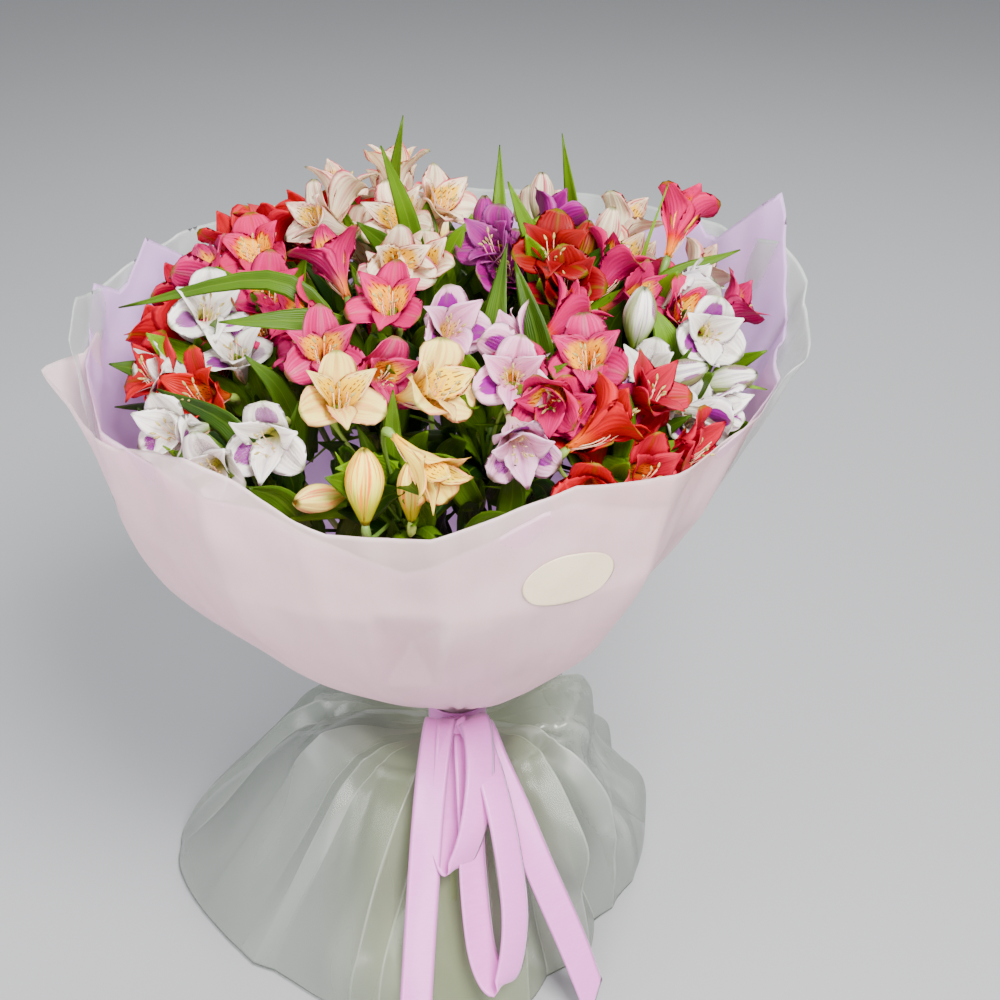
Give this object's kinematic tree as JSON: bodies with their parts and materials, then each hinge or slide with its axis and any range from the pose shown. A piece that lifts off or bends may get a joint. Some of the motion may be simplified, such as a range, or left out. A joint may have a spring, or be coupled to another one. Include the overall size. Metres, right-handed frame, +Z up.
{
  "type": "alstroemeria bouquet",
  "caption": "Hand-tied bouquet of mixed alstroemeria in pink and frosted film with a satin ribbon, standing on its spiralled cut stems.",
  "frame": {"origin": "on the surface that the stems stand on, at the centre of the middle stem's cut end", "axes": "+Z up along the height of the bouquet; the front, where the ribbon is knotted, faces -Y; +X is to the right seen from the front"},
  "size_m": [0.5529, 0.5334, 0.68],
  "materials": {
    "stem": "satin",
    "leaf": "satin",
    "tie": "matte",
    "scarlet": "matte",
    "crimson": "matte",
    "rose": "matte",
    "peach": "matte",
    "blush": "matte",
    "white": "matte",
    "violet": "matte",
    "mauve": "matte",
    "film_pink": "satin",
    "film_clear": "matte",
    "satin": "satin",
    "label": "satin"
  },
  "bodies": {
    "root": {"binding_tie": "tie", "florets_blush_back": "blush", "florets_blush_left": "blush", "florets_cream_back": "blush", "florets_crimson_middle": "crimson", "florets_mauve_middle": "mauve", "florets_peach_front": "peach", "florets_rose_front": "rose", "florets_rose_left": "rose", "florets_rose_middle": "rose", "florets_rose_right": "rose", "florets_scarlet_back": "scarlet", "florets_scarlet_left": "scarlet", "florets_scarlet_right": "scarlet", "florets_violet_middle": "violet", "florets_white_front": "white", "florets_white_left": "white", "florets_white_right": "white", "frosted_sheet": "film_clear", "leaves_blush_back": "leaf", "leaves_blush_left": "leaf", "leaves_cream_back": "leaf", "leaves_crimson_middle": "leaf", "leaves_mauve_middle": "leaf", "leaves_peach_front": "leaf", "leaves_rose_front": "leaf", "leaves_rose_left": "leaf", "leaves_rose_middle": "leaf", "leaves_rose_right": "leaf", "leaves_scarlet_back": "leaf", "leaves_scarlet_left": "leaf", "leaves_scarlet_right": "leaf", "leaves_violet_middle": "leaf", "leaves_white_front": "leaf", "leaves_white_left": "leaf", "leaves_white_right": "leaf", "pink_sheet_front": "film_pink", "pink_sheet_inner": "film_pink", "satin_ribbon": "satin", "skirt_film": "film_clear", "stem_blush_back": "stem", "stem_blush_left": "stem", "stem_cream_back": "stem", "stem_crimson_middle": "stem", "stem_mauve_middle": "stem", "stem_peach_front": "stem", "stem_rose_front": "stem", "stem_rose_left": "stem", "stem_rose_middle": "stem", "stem_rose_right": "stem", "stem_scarlet_back": "stem", "stem_scarlet_left": "stem", "stem_scarlet_right": "stem", "stem_violet_middle": "stem", "stem_white_front": "stem", "stem_white_left": "stem", "stem_white_right": "stem", "sticker": "label"}
  },
  "joints": []
}
